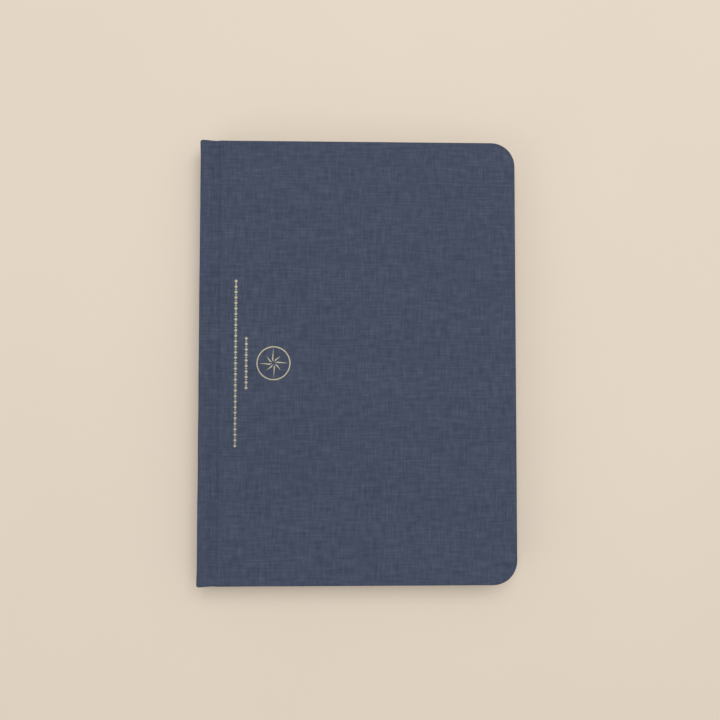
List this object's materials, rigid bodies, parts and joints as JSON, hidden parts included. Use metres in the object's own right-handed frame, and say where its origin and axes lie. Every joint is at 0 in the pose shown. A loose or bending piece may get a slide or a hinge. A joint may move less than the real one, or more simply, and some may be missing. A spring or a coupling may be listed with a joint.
{
  "type": "clothbound journal",
  "caption": "Portrait clothbound lined journal with a hollow spine, French grooves and rounded fore-edge corners, that opens flat at its middle spread.",
  "frame": {"origin": "on the surface under the closed book, below the middle of its outline", "axes": "+X from the spine to the fore-edge, +Y to the head, +Z out of the front cover"},
  "size_m": [0.15, 0.21, 0.015],
  "materials": {
    "navy_cloth": "fine linen-weave book cloth, navy",
    "grey_board": "pressed grey board, inside the cloth",
    "mull_gauze": "starched open cotton gauze",
    "endpaper": "heavy cream endpaper, uncoated",
    "ruled_paper": "cream writing paper with fine grey rules",
    "gold_foil": "pale gold stamping foil",
    "kraft_paper": "brown kraft paper",
    "linen_thread": "waxed linen thread",
    "band_silk": "striped woven band, navy and cream"
  },
  "bodies": {
    "back_cover": {"back_board": "grey_board", "back_cover_cloth": "navy_cloth", "back_mull_flap": "mull_gauze", "back_pastedown": "endpaper", "back_flyleaf": "endpaper", "section_11": "ruled_paper", "section_12": "ruled_paper"},
    "rear_leaves": {"section_07": "ruled_paper", "section_08": "ruled_paper", "section_09": "ruled_paper", "section_10": "ruled_paper"},
    "spine": {"spine_board": "grey_board", "spine_cloth": "navy_cloth", "spine_liner": "kraft_paper", "spine_mull": "mull_gauze", "sewing_thread": "linen_thread", "head_band": "band_silk", "tail_band": "band_silk", "back_joint_cloth": "navy_cloth", "front_joint_cloth": "navy_cloth"},
    "front_leaves": {"section_03": "ruled_paper", "section_04": "ruled_paper", "section_05": "ruled_paper", "section_06": "ruled_paper"},
    "front_cover": {"front_board": "grey_board", "front_cover_cloth": "navy_cloth", "front_mull_flap": "mull_gauze", "front_pastedown": "endpaper", "front_flyleaf": "endpaper", "foil_emblem": "gold_foil", "foil_long_rule": "gold_foil", "foil_short_rule": "gold_foil", "section_01": "ruled_paper", "section_02": "ruled_paper"}
  },
  "joints": [
    {"name": "spine_hinge", "type": "hinge", "parent": "back_cover", "child": "spine", "pos_m": [-0.0738, 0, 0.0012], "axis": [0, -1, 0], "range_deg": [0, 90], "deforming": ["back_joint_cloth"]},
    {"name": "rear_leaves_hinge", "type": "hinge", "parent": "spine", "child": "rear_leaves", "pos_m": [-0.0738, 0, 0.0012], "axis": [0, -1, 0], "range_deg": [-85, 0]},
    {"name": "front_cover_hinge", "type": "hinge", "parent": "spine", "child": "front_cover", "pos_m": [-0.0738, 0, 0.0138], "axis": [0, -1, 0], "range_deg": [0, 90], "deforming": ["front_joint_cloth"]},
    {"name": "front_leaves_hinge", "type": "hinge", "parent": "spine", "child": "front_leaves", "pos_m": [-0.0738, 0, 0.0138], "axis": [0, -1, 0], "range_deg": [0, 85]}
  ],
  "couplings": [
    {"joint": "rear_leaves_hinge", "follows": "spine_hinge", "ratio": -0.94},
    {"joint": "front_leaves_hinge", "follows": "front_cover_hinge", "ratio": 0.94}
  ]
}
